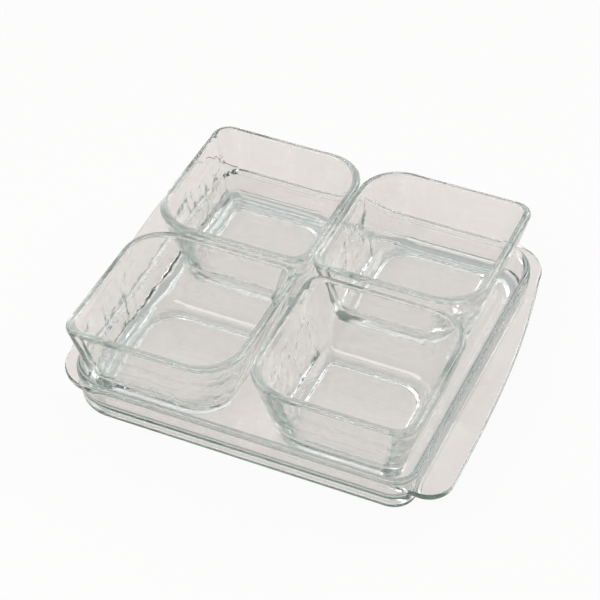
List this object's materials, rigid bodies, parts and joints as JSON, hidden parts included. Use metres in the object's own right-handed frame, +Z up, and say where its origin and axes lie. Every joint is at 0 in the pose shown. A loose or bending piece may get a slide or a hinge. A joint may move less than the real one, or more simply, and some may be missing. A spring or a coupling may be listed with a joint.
{
  "type": "relish_tray",
  "caption": "Clear pressed-glass relish tray with swept side handles, holding loose square dishes that lift straight out.",
  "frame": {"origin": "on the table, under the middle of the tray", "axes": "+X to the right handle, +Y to the back, +Z up"},
  "size_m": [0.246, 0.2106, 0.0546],
  "materials": {
    "tray_glass": "clear pressed soda-lime glass, fire polished, faint green at the edges",
    "dish_glass": "clear pressed soda-lime glass, fire polished, faint green at the edges"
  },
  "bodies": {
    "tray_body": {"tray": "tray_glass"},
    "back_left_dish": {"dish_back_left": "dish_glass"},
    "back_right_dish": {"dish_back_right": "dish_glass"},
    "front_left_dish": {"dish_front_left": "dish_glass"},
    "front_right_dish": {"dish_front_right": "dish_glass"}
  },
  "joints": [
    {"name": "lift_back_left", "type": "slide", "parent": "tray_body", "child": "back_left_dish", "axis": [0, 0, 1], "range_m": [0, 0.08]},
    {"name": "lift_back_right", "type": "slide", "parent": "tray_body", "child": "back_right_dish", "axis": [0, 0, 1], "range_m": [0, 0.08]},
    {"name": "lift_front_left", "type": "slide", "parent": "tray_body", "child": "front_left_dish", "axis": [0, 0, 1], "range_m": [0, 0.08]},
    {"name": "lift_front_right", "type": "slide", "parent": "tray_body", "child": "front_right_dish", "axis": [0, 0, 1], "range_m": [0, 0.08]}
  ]
}
